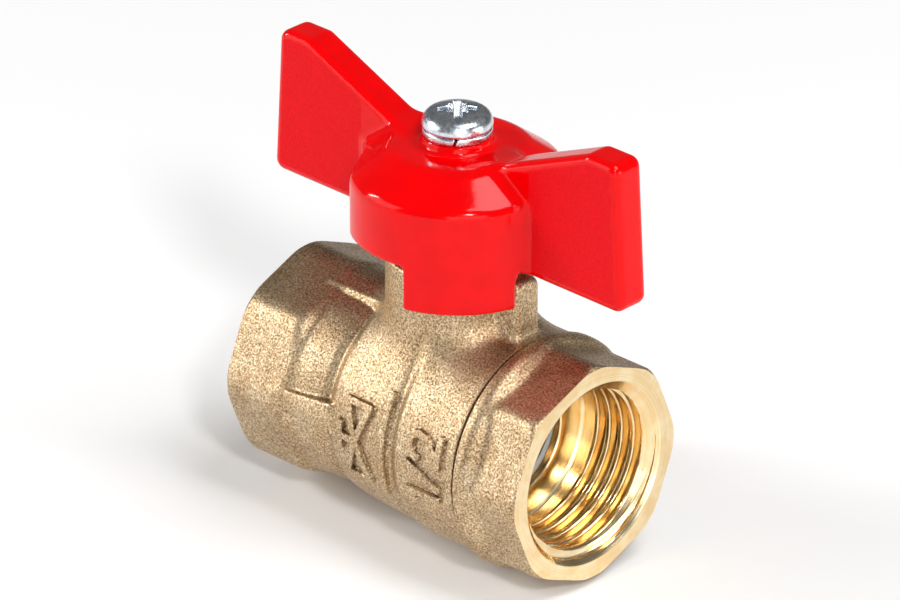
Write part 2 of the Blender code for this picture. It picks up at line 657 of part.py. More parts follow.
clear_scene()
VALVE = new_collection("ball_valve")
CUTTERS = new_collection("ball_valve_cutters")
build_valve()
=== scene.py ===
"""Looks for the half-inch brass ball valve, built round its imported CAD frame.

Cast and moulded pieces are made as smooth implicit solids, so that every corner has its fillet, and
the machined sockets with their helical threads are then cut into the castings. Lengths inside the
shape functions are in millimetres.
"""

from math import cos, pi, radians, sin

import bmesh
import bpy
import numpy as np
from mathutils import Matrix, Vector


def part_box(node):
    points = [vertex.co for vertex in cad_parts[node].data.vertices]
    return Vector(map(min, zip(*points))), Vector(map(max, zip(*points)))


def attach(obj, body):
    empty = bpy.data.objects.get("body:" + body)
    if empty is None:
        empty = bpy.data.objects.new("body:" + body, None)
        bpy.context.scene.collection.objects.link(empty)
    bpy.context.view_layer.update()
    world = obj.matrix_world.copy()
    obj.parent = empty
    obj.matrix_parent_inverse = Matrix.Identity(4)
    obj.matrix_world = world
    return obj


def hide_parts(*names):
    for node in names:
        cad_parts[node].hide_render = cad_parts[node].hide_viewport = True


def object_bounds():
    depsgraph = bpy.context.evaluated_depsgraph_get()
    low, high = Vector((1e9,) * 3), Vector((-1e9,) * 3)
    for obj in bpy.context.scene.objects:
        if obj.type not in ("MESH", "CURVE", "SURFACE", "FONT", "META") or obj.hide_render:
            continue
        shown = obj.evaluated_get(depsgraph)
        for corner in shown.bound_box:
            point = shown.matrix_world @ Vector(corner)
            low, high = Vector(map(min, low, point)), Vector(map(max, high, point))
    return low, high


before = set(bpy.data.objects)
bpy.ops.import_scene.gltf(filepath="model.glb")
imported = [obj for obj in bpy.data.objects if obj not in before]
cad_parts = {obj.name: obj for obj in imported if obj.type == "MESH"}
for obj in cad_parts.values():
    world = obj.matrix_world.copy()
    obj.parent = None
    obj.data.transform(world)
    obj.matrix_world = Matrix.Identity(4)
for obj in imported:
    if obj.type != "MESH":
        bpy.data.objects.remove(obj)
cad_low, cad_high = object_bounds()

MM = 0.001


def box_mm(node):
    low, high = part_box(node)
    return low / MM, high / MM


# --- Sizes taken from the frame, in millimetres ---------------------------------------------------
body_low, body_high = box_mm("body")
connector_low, connector_high = box_mm("end_connector")
handle_low, handle_high = box_mm("handle")

INLET_X = body_low.x
SEAM_X = body_high.x
OUTLET_X = connector_high.x
SPIGOT_X = connector_low.x
NECK_TOP = body_high.z
HUB_RADIUS = handle_high.y
WING_REACH = handle_high.x
WING_TOP = handle_high.z
SKIRT_BOTTOM = handle_low.z

# --- Sizes of the real thing that the plain solids leave out, in millimetres ----------------------
THREAD_PITCH = 1.814
THREAD_MINOR = 9.3
THREAD_MAJOR = 10.45
MOUTH_RADIUS = 10.9
RELIEF_RADIUS = 10.3
RELIEF_RUNOUT = 0.12
RELIEF_CHAMFER = 0.3
THREAD_END = 12.2
RINGS_PER_TURN = 30
SHOULDER_X = 9.7
PORT_RADIUS = 6.75
PORT_CHAMFER = 0.15
CUTTER_RADIUS = 16.0
CUTTER_INNER_END = 7.5
SEAT_POCKET_RADIUS = 9.5
SEAT_POCKET_X = 8.7
SEAT_POCKET_INNER_END = 3.0
CHAMBER_RADIUS = 10.8
CHAMBER_HALF_LENGTH = 5.2
COUNTERBORE_RADIUS = 12.4
SPIGOT_RADIUS = 12.1
STEM_BORE_RADIUS = 4.3
STEM_BORE_ENDS = (6.0, 22.0)
COLLAR_BORE_RADIUS = 5.3
COLLAR_BORE_ENDS = (8.0, 13.6)
PACKING_BORE_RADIUS = 5.9
PACKING_BORE_BOTTOM = 17.0
SPANNER_FLAT = 12.5
OCTAGON_CORNER = 13.25
OCTAGON_INNER_END = -14.9
MOUTH_CHAMFER_RADIUS = 12.95
SEAM_GROOVE = 0.5
FLANGE_RADIUS = 13.85
FLANGE_GAP = 0.1
FLANGE_SLOPE = (14.35, 13.4)
NECK_RADIUS = 8.1
LUG_REACH = 11.0
LUG_HALF_WIDTH = 1.9
LUG_BOTTOM = 8.0
LUG_INNER_END = 6.0
HUB_FACET_REACH = 11.3
HUB_FACET_AZIMUTHS = (radians(-149), radians(31))
HUB_FACET_TILT = radians(50)
HUB_RIM = 23.6
HUB_SHOULDER = 30.7
PLATEAU = 33.9
BOSS_RADIUS = 3.95
BOSS_TOP = 35.0
HUB_HOLLOW = 10.6
HUB_WEB = 29.0
WING_HALF_THICKNESS = 2.2


# --- Implicit solids: negative inside -------------------------------------------------------------
PROFILE_SAMPLES = 900
SLOPE_PROBE = 0.02      # millimetres either way, for a field's slope


def soft_min(a, b, k):
    share = np.clip(0.5 + 0.5 * (b - a) / k, 0.0, 1.0)
    return b * (1.0 - share) + a * share - k * share * (1.0 - share)


def soft_max(a, b, k):
    return -soft_min(-a, -b, k)


def between(value, ends):
    """Distance outside the stretch between two ends."""
    return np.maximum(ends[0] - value, value - ends[1])


def soft_step(value, start, end):
    share = np.clip((value - start) / (end - start), 0.0, 1.0)
    return share * share * (3.0 - 2.0 * share)


def profile(points, blur):
    """A radius along the pipe, through the points and rounded over the length blur."""
    along = np.linspace(points[0][0] - 2.0, points[-1][0] + 2.0, PROFILE_SAMPLES)
    radius = np.interp(along, *zip(*points))
    width = max(1, int(blur / (along[1] - along[0])))
    kernel = np.hanning(width + 2)
    padded = np.pad(radius, width, mode="edge")
    smooth = np.convolve(padded, kernel / kernel.sum(), mode="same")[width:-width]
    return lambda value: np.interp(value, along, smooth)


def outline_distance(u, v, corners):
    """Signed distance to a polygon in the plane of u and v."""
    best = np.full(np.broadcast(u, v).shape, 1e9)
    sign = np.ones(best.shape)
    for (ax, ay), (bx, by) in zip(corners, corners[-1:] + corners[:-1]):
        ex, ey = bx - ax, by - ay
        wx, wy = u - ax, v - ay
        share = np.clip((wx * ex + wy * ey) / (ex * ex + ey * ey), 0.0, 1.0)
        best = np.minimum(best, (wx - ex * share) ** 2 + (wy - ey * share) ** 2)
        above, below, left = v >= ay, v < by, ex * wy > ey * wx
        flip = (above & below & left) | (~above & ~below & ~left)
        sign = np.where(flip, -sign, sign)
    return sign * np.sqrt(best)


def stroke_distance(u, v, stroke):
    """Distance to a line through the stroke's points."""
    best = np.full(np.broadcast(u, v).shape, 1e9)
    for (ax, ay), (bx, by) in zip(stroke, stroke[1:]):
        ex, ey = bx - ax, by - ay
        share = np.clip(((u - ax) * ex + (v - ay) * ey) / (ex * ex + ey * ey), 0.0, 1.0)
        best = np.minimum(best, (u - ax - ex * share) ** 2 + (v - ay - ey * share) ** 2)
    return np.sqrt(best)


def skin(name, field, low, high, cell, rounds=4):
    """Mesh of the surface where the field is zero: one quad net, relaxed and moved onto it."""
    axes = [np.arange(start - 2 * cell, end + 3 * cell, cell) for start, end in zip(low, high)]
    grid = np.meshgrid(*axes, indexing="ij", sparse=True)
    inside = np.broadcast_to(field(*grid), [len(axis) for axis in axes]) < 0.0
    count = np.zeros([size - 1 for size in inside.shape], np.int8)
    for i in (0, 1):
        for j in (0, 1):
            for k in (0, 1):
                count += inside[i:][:count.shape[0], j:][:, :count.shape[1], k:][:, :, :count.shape[2]]
    active = (count > 0) & (count < 8)
    index = np.full(count.shape, -1, np.int64)
    index[active] = np.arange(active.sum())
    where = np.argwhere(active)
    points = np.stack([axes[i][where[:, i]] + cell / 2 for i in range(3)], axis=1)
    quads = []
    for axis in range(3):
        first = np.moveaxis(inside, axis, 0)
        start, end = first[:-1], first[1:]
        cells = np.moveaxis(index, axis, 0)
        for leaving in (True, False):
            crossing = (start & ~end) if leaving else (~start & end)
            a, b, c = np.nonzero(crossing)
            ring = [cells[a, b - 1, c - 1], cells[a, b, c - 1], cells[a, b, c], cells[a, b - 1, c]]
            flip = leaving == (axis == 1)
            quads.append(np.stack(ring[::-1] if flip else ring, axis=1))
    quads = np.concatenate(quads)
    ends = np.concatenate([quads, np.roll(quads, -1, axis=1)])
    starts = np.concatenate([np.roll(quads, -1, axis=1), quads])
    near = np.bincount(starts.ravel(), minlength=len(points))[:, None]
    for step in range(rounds):
        if step:
            total = np.stack([
                np.bincount(starts.ravel(), weights=points[ends.ravel(), i], minlength=len(points))
                for i in range(3)], axis=1)
            points = 0.5 * points + 0.5 * total / near
        for _ in range(2):
            points = onto_surface(field, points, cell)
    mesh = bpy.data.meshes.new(name)
    mesh.from_pydata((points * MM).tolist(), [], quads.tolist())
    mesh.validate()
    mesh.shade_smooth()
    obj = bpy.data.objects.new(name, mesh)
    bpy.context.scene.collection.objects.link(obj)
    return obj


def onto_surface(field, points, reach):
    """One Newton step of the points towards the zero of the field."""
    value = field(*points.T)
    slope = np.empty_like(points)
    for axis in range(3):
        ahead, behind = points.copy(), points.copy()
        ahead[:, axis] += SLOPE_PROBE
        behind[:, axis] -= SLOPE_PROBE
        slope[:, axis] = (field(*ahead.T) - field(*behind.T)) / (2 * SLOPE_PROBE)
    length = np.maximum((slope ** 2).sum(axis=1), 0.05)
    move = -(value / length)[:, None] * slope
    size = np.linalg.norm(move, axis=1, keepdims=True)
    return points + move * np.minimum(1.0, reach / np.maximum(size, 1e-9))


# --- Turned cutters --------------------------------------------------------------------------------
SHARP_ANGLE = radians(38)


def lathe(name, rings, segments=160):
    """Closed solid turned about X. A ring is (x, radius), where radius may vary with the angle."""
    angle = 2 * pi * np.arange(segments) / segments
    points = []
    for x, radius in rings:
        radius = radius(angle) if callable(radius) else np.full(segments, radius)
        points.append(np.stack([np.full(segments, x), radius * np.cos(angle), radius * np.sin(angle)], 1))
    flat = np.concatenate(points + [[[rings[0][0], 0.0, 0.0]], [[rings[-1][0], 0.0, 0.0]]])
    faces = []
    for ring in range(len(rings) - 1):
        for i in range(segments):
            j = (i + 1) % segments
            a, b = ring * segments, (ring + 1) * segments
            faces.append((a + i, b + i, b + j, a + j))
    first, last = len(flat) - 2, len(flat) - 1
    for i in range(segments):
        j = (i + 1) % segments
        faces.append((first, i, j))
        faces.append((last, (len(rings) - 1) * segments + j, (len(rings) - 1) * segments + i))
    mesh = bpy.data.meshes.new(name)
    mesh.from_pydata((flat * MM).tolist(), [], faces)
    mesh.validate()
    build = bmesh.new()
    build.from_mesh(mesh)
    bmesh.ops.recalc_face_normals(build, faces=build.faces)
    build.to_mesh(mesh)
    build.free()
    mesh.shade_smooth()
    obj = bpy.data.objects.new(name, mesh)
    bpy.context.scene.collection.objects.link(obj)
    return obj


def thread_radius(x, mouth):
    """Radius of the Whitworth groove at a place along the pipe, as a function of the angle."""
    chamfer = MOUTH_RADIUS - (mouth - x)

    def radius(angle):
        turn = x / THREAD_PITCH - angle / (2 * pi)
        depth = soft_step(0.5 - 0.62 * np.cos(2 * pi * turn), 0.0, 1.0)
        return np.maximum(THREAD_MINOR + depth * (THREAD_MAJOR - THREAD_MINOR), chamfer)

    return radius


def socket_cutter(name, mouth):
    """Machined socket: flat end face, chamfered mouth, thread, relief and shoulder."""
    step = THREAD_PITCH / RINGS_PER_TURN
    rings = [(mouth + 2.0, CUTTER_RADIUS), (mouth, CUTTER_RADIUS), (mouth, MOUTH_RADIUS)]
    rings += [(x, thread_radius(x, mouth)) for x in np.arange(mouth - 0.02, THREAD_END, -step)]
    rings += [
        (THREAD_END, thread_radius(THREAD_END, mouth)), (THREAD_END - RELIEF_RUNOUT, RELIEF_RADIUS),
        (SHOULDER_X + RELIEF_CHAMFER, RELIEF_RADIUS), (SHOULDER_X, RELIEF_RADIUS - RELIEF_CHAMFER),
        (SHOULDER_X, PORT_RADIUS + PORT_CHAMFER), (SHOULDER_X - PORT_CHAMFER, PORT_RADIUS),
        (CUTTER_INNER_END, PORT_RADIUS)]
    cutter = lathe(name, rings)
    cutter.data.materials.append(materials["machined_brass"])
    return cutter


def cut(obj, cutter):
    """Take the cutter out of the object; the new faces keep the cutter's finish."""
    modifier = obj.modifiers.new("cut", "BOOLEAN")
    modifier.object = cutter
    modifier.operation = "DIFFERENCE"
    modifier.solver = "EXACT"
    modifier.material_mode = "TRANSFER"
    evaluated = obj.evaluated_get(bpy.context.evaluated_depsgraph_get())
    mesh = bpy.data.meshes.new_from_object(evaluated)
    obj.modifiers.clear()
    obj.data = mesh
    bpy.data.objects.remove(cutter, do_unlink=True)
    mesh.set_sharp_from_angle(angle=SHARP_ANGLE)


# --- Materials -------------------------------------------------------------------------------------
class Nodes:
    """Short hand for a material's node tree, with object coordinates in millimetres."""

    def __init__(self, name, metallic, roughness):
        self.material = bpy.data.materials.new(name)
        self.material.use_nodes = True
        self.tree = self.material.node_tree
        self.shader = self.tree.nodes["Principled BSDF"]
        self.shader.inputs["Metallic"].default_value = metallic
        self.shader.inputs["Roughness"].default_value = roughness
        where = self.add("ShaderNodeTexCoord")
        scale = self.add("ShaderNodeVectorMath", operation="SCALE")
        scale.inputs["Scale"].default_value = 1.0 / MM
        self.link(where.outputs["Object"], scale.inputs[0])
        self.place = scale.outputs[0]

    def add(self, kind, **settings):
        node = self.tree.nodes.new(kind)
        for key, value in settings.items():
            setattr(node, key, value)
        return node

    def link(self, output, target):
        self.tree.links.new(output, target)

    def noise(self, scale, detail=2.0, roughness=0.5):
        node = self.add("ShaderNodeTexNoise")
        node.inputs["Scale"].default_value = scale
        node.inputs["Detail"].default_value = detail
        node.inputs["Roughness"].default_value = roughness
        self.link(self.place, node.inputs["Vector"])
        return node.outputs["Fac"]

    def ramp(self, factor, stops):
        node = self.add("ShaderNodeValToRGB")
        elements = node.color_ramp.elements
        for index, (position, colour) in enumerate(stops):
            element = elements[index] if index < 2 else elements.new(position)
            element.position = position
            element.color = (*colour, 1.0)
        self.link(factor, node.inputs["Fac"])
        return node.outputs["Color"]

    def mix(self, factor, a, b, blend="MIX"):
        node = self.add("ShaderNodeMix", data_type="RGBA", blend_type=blend)
        for value, target in ((factor, node.inputs[0]), (a, node.inputs[6]), (b, node.inputs[7])):
            if isinstance(value, bpy.types.NodeSocket):
                self.link(value, target)
            else:
                target.default_value = value
        return node.outputs[2]

    def remap(self, value, low, high, from_low=0.0, from_high=1.0):
        node = self.add("ShaderNodeMapRange")
        node.inputs["From Min"].default_value = from_low
        node.inputs["From Max"].default_value = from_high
        node.inputs["To Min"].default_value = low
        node.inputs["To Max"].default_value = high
        self.link(value, node.inputs["Value"])
        return node.outputs["Result"]

    def bump(self, height, distance, strength=1.0, under=None):
        node = self.add("ShaderNodeBump")
        node.inputs["Distance"].default_value = distance
        node.inputs["Strength"].default_value = strength
        self.link(height, node.inputs["Height"])
        if under is not None:
            self.link(under, node.inputs["Normal"])
        return node.outputs["Normal"]

    def finish(self, colour=None, roughness=None, normal=None):
        for value, name in ((colour, "Base Color"), (roughness, "Roughness"), (normal, "Normal")):
            if isinstance(value, bpy.types.NodeSocket):
                self.link(value, self.shader.inputs[name])
            elif value is not None:
                self.shader.inputs[name].default_value = value
        return self.material


def cast_brass():
    """Shot-blasted casting: fine bright and dark grain, with painted shade darkening its corners and
    creases.
    """
    nodes = Nodes("cast_brass", 1.0, 0.4)
    grain = nodes.noise(4.5, 3.0, 0.65)
    patches = nodes.noise(0.22, 2.0)
    colour = nodes.ramp(grain, [
        (0.33, (0.18, 0.115, 0.065)), (0.46, (0.45, 0.32, 0.18)), (0.54, (0.63, 0.48, 0.30)),
        (0.67, (0.92, 0.78, 0.56))])
    tint = nodes.ramp(patches, [(0.35, (0.86, 0.80, 0.74)), (0.65, (1.0, 1.0, 1.0))])
    colour = nodes.mix(1.0, colour, tint, "MULTIPLY")
    # Painted shade: ambient occlusion darkens the corners, creases, seam and feet of the raised marks.
    shade_occlusion = nodes.add("ShaderNodeAmbientOcclusion", samples=8, only_local=True)
    shade_occlusion.inputs["Distance"].default_value = 0.0009
    painted_corner_shade = nodes.ramp(shade_occlusion.outputs["AO"], [(0.45, (0.22, 0.17, 0.12)), (0.92, (1.0, 1.0, 1.0))])
    colour = nodes.mix(1.0, colour, painted_corner_shade, "MULTIPLY")
    rough = nodes.remap(grain, 0.50, 0.36, 0.35, 0.65)
    normal = nodes.bump(grain, 0.00006, 1.0)
    return nodes.finish(colour, rough, nodes.bump(patches, 0.0002, 0.4, normal))


def machined_brass():
    """Bright turned brass with fine tool rings about the pipe axis."""
    nodes = Nodes("machined_brass", 1.0, 0.16)
    split = nodes.add("ShaderNodeSeparateXYZ")
    nodes.link(nodes.place, split.inputs[0])
    ring = nodes.add("ShaderNodeCombineXYZ")
    radius = nodes.add("ShaderNodeVectorMath", operation="LENGTH")
    across = nodes.add("ShaderNodeCombineXYZ")
    nodes.link(split.outputs["Y"], across.inputs["Y"])
    nodes.link(split.outputs["Z"], across.inputs["Z"])
    nodes.link(across.outputs[0], radius.inputs[0])
    nodes.link(radius.outputs["Value"], ring.inputs["X"])
    nodes.link(split.outputs["X"], ring.inputs["Y"])
    lines = nodes.add("ShaderNodeTexNoise")
    lines.inputs["Scale"].default_value = 9.0
    lines.inputs["Detail"].default_value = 2.0
    nodes.link(ring.outputs[0], lines.inputs["Vector"])
    colour = nodes.ramp(lines.outputs["Fac"], [(0.35, (0.93, 0.70, 0.38)), (0.65, (1.0, 0.86, 0.58))])
    stain = nodes.ramp(nodes.noise(0.5, 3.0), [(0.42, (0.9, 0.78, 0.6)), (0.6, (1.0, 1.0, 1.0))])
    colour = nodes.mix(0.6, colour, stain, "MULTIPLY")
    rough = nodes.remap(lines.outputs["Fac"], 0.10, 0.26, 0.3, 0.7)
    return nodes.finish(colour, rough, nodes.bump(lines.outputs["Fac"], 0.000006, 0.6))


def red_gloss():
    """Smooth red coating with a trace of orange peel."""
    nodes = Nodes("red_gloss", 0.0, 0.1)
    nodes.shader.inputs["Specular IOR Level"].default_value = 0.2
    peel = nodes.noise(0.9, 2.0)
    colour = nodes.ramp(nodes.noise(0.35, 1.0), [(0.3, (0.68, 0.0, 0.001)), (0.7, (0.75, 0.0, 0.001))])
    return nodes.finish(colour, None, nodes.bump(peel, 0.00004, 0.5))


def red_grained():
    """The textured faces of the wings: fine grain under the coating."""
    nodes = Nodes("red_grained", 0.0, 0.34)
    nodes.shader.inputs["Specular IOR Level"].default_value = 0.1
    grain = nodes.noise(4.2, 2.0, 0.6)
    colour = nodes.ramp(grain, [(0.36, (0.62, 0.0, 0.003)), (0.6, (0.72, 0.0005, 0.005))])
    rough = nodes.remap(grain, 0.42, 0.28, 0.35, 0.65)
    return nodes.finish(colour, rough, nodes.bump(grain, 0.00003, 0.8))


def zinc_plate():
    """Bright zinc plate, slightly blue and cloudy."""
    nodes = Nodes("zinc_plate", 1.0, 0.25)
    cloud = nodes.noise(1.2, 3.0)
    colour = nodes.ramp(cloud, [(0.35, (0.56, 0.62, 0.69)), (0.65, (0.84, 0.87, 0.91))])
    rough = nodes.remap(nodes.noise(3.0), 0.2, 0.34, 0.3, 0.7)
    return nodes.finish(colour, rough, nodes.bump(nodes.noise(6.0), 0.000005, 0.5))


def chrome_plate():
    """Polished plating with a trace of haze."""
    nodes = Nodes("chrome_plate", 1.0, 0.05)
    haze = nodes.noise(0.4, 2.0)
    colour = nodes.ramp(haze, [(0.3, (0.72, 0.73, 0.75)), (0.7, (0.86, 0.87, 0.88))])
    return nodes.finish(colour, nodes.remap(haze, 0.03, 0.10, 0.3, 0.7))


def white_ptfe():
    """Waxy white sealing plastic."""
    nodes = Nodes("white_ptfe", 0.0, 0.42)
    nodes.shader.inputs["Subsurface Weight"].default_value = 0.1
    nodes.shader.inputs["Subsurface Radius"].default_value = (0.001, 0.001, 0.001)
    cloud = nodes.noise(0.8, 2.0)
    colour = nodes.ramp(cloud, [(0.3, (0.80, 0.80, 0.78)), (0.7, (0.90, 0.90, 0.88))])
    return nodes.finish(colour, None, nodes.bump(nodes.noise(3.0), 0.00002, 0.4))


def black_rubber():
    """Dull black elastomer."""
    nodes = Nodes("black_rubber", 0.0, 0.55)
    cloud = nodes.noise(2.0, 2.0)
    colour = nodes.ramp(cloud, [(0.3, (0.012, 0.012, 0.013)), (0.7, (0.03, 0.03, 0.032))])
    return nodes.finish(colour, None, nodes.bump(nodes.noise(5.0), 0.00002, 0.4))


materials = {
    make.__name__: make() for make in (
        cast_brass, machined_brass, red_gloss, red_grained, zinc_plate, chrome_plate, white_ptfe,
        black_rubber)}


# --- The castings ----------------------------------------------------------------------------------
def octagon(y, z, corner_round):
    """Distance outside the spanner flats, which stand with one corner straight up."""
    reach = None
    for face in range(4):
        angle = pi / 8 + face * pi / 4
        side = np.abs(y * cos(angle) + z * sin(angle)) - SPANNER_FLAT
        reach = side if reach is None else soft_max(reach, side, corner_round)
    return reach


barrel_radius = profile([
    (-20.0, 11.5), (-16.6, 11.5), (-15.4, 12.25), (-12.0, 12.1), (-10.0, 11.9), (-9.0, 11.45),
    (-7.8, 12.3), (-5.0, 12.65), (-1.0, 12.9), (1.0, 12.85), (2.0, 12.6), (3.2, 13.35),
    (5.5, 13.4), (12.4, 13.4)], 1.0)

# Raised marks on the front of the barrel, as strokes (arc length upward, distance towards the inlet)
THREAD_SIZE = [
    [(-3.0, -6.1), (-2.4, -5.3), (-2.4, -9.8)],
    [(-1.05, -9.95), (0.9, -5.3)],
    [(1.95, -6.6), (2.3, -5.75), (3.2, -5.4), (4.2, -5.65), (4.7, -6.5), (4.45, -7.6), (3.3, -8.85),
     (1.75, -9.85), (4.95, -9.85)]]
VALVE_SIGN = [
    [(-4.8, 1.6), (-4.8, 5.2), (4.8, 1.6), (4.8, 5.2), (-4.8, 1.6)], [(0.0, 3.4), (0.0, 6.0)],
    [(-1.5, 6.0), (1.5, 6.0)]]
UNDERLINE = [[(-5.6, -0.6), (7.4, -0.9)]]
MARK_HEIGHT = 0.46
MARK_HALF_WIDTH = 0.42
MARK_SLOPE = 0.12
MARK_ARC_RADIUS = 13.6
RIB_HALF_WIDTH = 3.6        # of the two ribs that stand over and under the pipe axis
SIDE_RIB_HEIGHT = 0.9       # middle of the side ribs over the pipe axis
RIB_ENDS = (-17.0, -7.6)


def raised_marks(x, y, z):
    """Cast marks on the front of the barrel: the thread size, a valve sign and a bar under it."""
    arc = np.arctan2(z, -y) * MARK_ARC_RADIUS
    nearest = None
    for stroke in THREAD_SIZE + VALVE_SIGN + UNDERLINE:
        gap = stroke_distance(arc, -x, stroke)
        nearest = gap if nearest is None else np.minimum(nearest, gap)
    return MARK_HEIGHT * (1.0 - soft_step(nearest, MARK_HALF_WIDTH, MARK_HALF_WIDTH + MARK_SLOPE))


def corner_ribs(x, y, z, across):
    """Ribs that carry four of the octagon's corners over the waist, tapering towards the belly."""
    upright = np.abs(y) - RIB_HALF_WIDTH
    level = np.abs(z - SIDE_RIB_HEIGHT) - 1.2 - 0.1 * (x + 15.0)
    rib = soft_max(octagon(y, z, 0.5), np.minimum(upright, level), 0.4)
    rib = soft_max(rib, across - 12.9, 0.4)
    return soft_max(rib, between(x, RIB_ENDS), 0.6)


def body_field(x, y, z):
    across = np.sqrt(y * y + z * z)
    about_stem = np.sqrt(x * x + y * y)
    barrel = across - barrel_radius(x) - raised_marks(x, y, z)
    barrel = soft_max(barrel, x - SEAM_X + SEAM_GROOVE, 0.12)
    barrel = soft_max(barrel, -19.0 - x, 0.5)
    flats = soft_max(octagon(y, z, 0.3), across - OCTAGON_CORNER, 0.4)
    flats = soft_max(flats, 0.8 * (x - OCTAGON_INNER_END) + 0.6 * (across - 12.6), 0.9)
    flats = soft_max(flats, 0.75 * (across - MOUTH_CHAMFER_RADIUS) + 0.66 * (INLET_X - x), 0.25)
    flats = soft_max(flats, INLET_X - 1.0 - x, 0.2)
    solid = soft_min(barrel, flats, 0.5)
    solid = soft_min(solid, corner_ribs(x, y, z, across), 0.45)
    neck = soft_max(about_stem - NECK_RADIUS, z - NECK_TOP, 0.5)
    neck = soft_max(neck, -z, 0.5)
    solid = soft_min(solid, neck, 3.2)
    lug = soft_max(np.abs(y) - LUG_HALF_WIDTH, x - LUG_REACH, 0.9)
    lug = soft_max(lug, z - NECK_TOP, 1.4)
    lug = soft_max(soft_max(lug, LUG_INNER_END - x, 0.3), LUG_BOTTOM - z, 0.3)
    solid = soft_min(solid, lug, 1.0)
    chamber = np.maximum(across - CHAMBER_RADIUS, np.abs(x) - CHAMBER_HALF_LENGTH)
    counterbore = np.maximum(across - COUNTERBORE_RADIUS, CHAMBER_HALF_LENGTH - x)
    pocket = np.maximum(across - SEAT_POCKET_RADIUS, between(x, (-SEAT_POCKET_X, 0.0)))
    hollow = np.minimum(np.minimum(chamber, counterbore), pocket)
    stem_bore = np.maximum(about_stem - STEM_BORE_RADIUS, between(z, STEM_BORE_ENDS))
    collar_bore = np.maximum(about_stem - COLLAR_BORE_RADIUS, between(z, COLLAR_BORE_ENDS))
    packing_bore = np.maximum(about_stem - PACKING_BORE_RADIUS, PACKING_BORE_BOTTOM - z)
    hollow = np.minimum(np.minimum(hollow, stem_bore), np.minimum(collar_bore, packing_bore))
    return np.maximum(solid, -hollow)


def connector_field(x, y, z):
    across = np.sqrt(y * y + z * z)
    slope = 0.75 * (x - FLANGE_SLOPE[0]) + 0.66 * (across - FLANGE_SLOPE[1])
    flange = soft_max(across - FLANGE_RADIUS, slope, 0.6)
    flange = soft_max(flange, between(x, (SEAM_X + FLANGE_GAP, 16.0)), 0.12)
    flats = soft_max(octagon(y, z, 0.2), across - OCTAGON_CORNER - 0.1, 0.3)
    flats = soft_max(flats, 13.0 - x, 0.3)
    mouth = 0.75 * (across - MOUTH_CHAMFER_RADIUS) + 0.66 * (x - OUTLET_X)
    flats = soft_max(flats, mouth, 0.25)
    flats = soft_max(flats, x - OUTLET_X - 1.0, 0.2)
    solid = soft_min(flange, flats, 0.7)
    spigot = np.maximum(across - SPIGOT_RADIUS, between(x, (SPIGOT_X, 15.0)))
    solid = np.minimum(solid, spigot)
    pocket = between(x, (SEAT_POCKET_INNER_END, SEAT_POCKET_X))
    pocket = np.maximum(across - SEAT_POCKET_RADIUS, pocket)
    return np.maximum(solid, -pocket)


def make_body():
    casting = skin(
        "body_casting", body_field, (INLET_X - 1.5, -14.0, -14.0), (SEAM_X, 14.0, NECK_TOP),
        BODY_CELL)
    casting.data.materials.append(materials["cast_brass"])
    cutter = socket_cutter("inlet_cutter", -INLET_X)
    cutter.rotation_euler = (0.0, 0.0, pi)
    bpy.context.view_layer.update()
    cut(casting, cutter)
    return casting


def make_connector():
    casting = skin(
        "end_connector_casting", connector_field, (SPIGOT_X, -14.0, -14.0), (OUTLET_X + 1.2, 14.0, 14.0),
        BODY_CELL)
    casting.data.materials.append(materials["cast_brass"])
    cut(casting, socket_cutter("outlet_cutter", OUTLET_X))
    return casting


# --- The handle and its screw ------------------------------------------------------------------------
WING_BOTTOM = 22.4
WING_CORNER = 1.3
GRAINED_FROM = 12.9         # the grained faces start this far from the stem axis
FLAT_ENOUGH = 0.995
SKIRT_MIDDLE = radians(-45)
SKIRT_HALF_SPAN = radians(31)
SOCKET_RADIUS = 4.2
SOCKET_HALF_FLAT = 3.2
SOCKET_TOP = 33.3
SCREW_HOLE_RADIUS = 2.2
WING_OUTLINE = [
    (6.0, 23.8), (12.0, WING_BOTTOM), (WING_REACH, WING_BOTTOM), (WING_REACH - 1.1, WING_TOP),
    (21.4, WING_TOP), (8.3, 34.5), (5.0, 33.1)]


def turned(x, y, angle):
    """The same place in axes turned by the angle about the stem."""
    return x * cos(angle) + y * sin(angle), -x * sin(angle) + y * cos(angle)


def plane(x, y, z, azimuth, tilt, reach, height):
    """Distance outside a plane that leans: its normal points along azimuth, raised by tilt."""
    level, _ = turned(x, y, azimuth)
    return (level - reach) * cos(tilt) + (z - height) * sin(tilt)


def handle_field(x, y, z):
    across = np.sqrt(x * x + y * y)
    hub = soft_max(across - HUB_RADIUS, (across - HUB_RADIUS) * 0.59 + (z - HUB_SHOULDER) * 0.81, 0.7)
    for azimuth in HUB_FACET_AZIMUTHS:
        hub = soft_max(hub, plane(x, y, z, azimuth, 0.0, HUB_FACET_REACH, 0.0), 0.3)
        facet = plane(x, y, z, azimuth, HUB_FACET_TILT, HUB_FACET_REACH, HUB_SHOULDER)
        hub = soft_max(hub, facet, 0.3)
    hub = soft_max(hub, z - PLATEAU, 0.6)
    boss = soft_max(across - BOSS_RADIUS, z - BOSS_TOP, 0.35)
    hub = soft_min(hub, soft_max(boss, 30.0 - z, 0.3), 0.9)
    side = np.abs(x)
    plate = outline_distance(side, z, WING_CORE) - WING_CORNER
    wing = soft_max(plate, np.abs(y) - WING_HALF_THICKNESS, 1.1)
    below_rim = soft_min(HUB_RIM - z, stop_sectors(x, y), 0.8)
    hub = soft_max(hub, below_rim, 0.35)
    hub = soft_max(hub, SKIRT_BOTTOM - z, 0.4)
    solid = soft_min(hub, wing, 1.6)
    hollow = soft_max(across - HUB_HOLLOW, z - HUB_WEB, 0.6)
    solid = soft_max(solid, -hollow, 0.3)
    socket = np.maximum(across - SOCKET_RADIUS, np.maximum(np.abs(y) - SOCKET_HALF_FLAT, z - SOCKET_TOP))
    return np.maximum(solid, -np.minimum(socket, across - SCREW_HOLE_RADIUS))


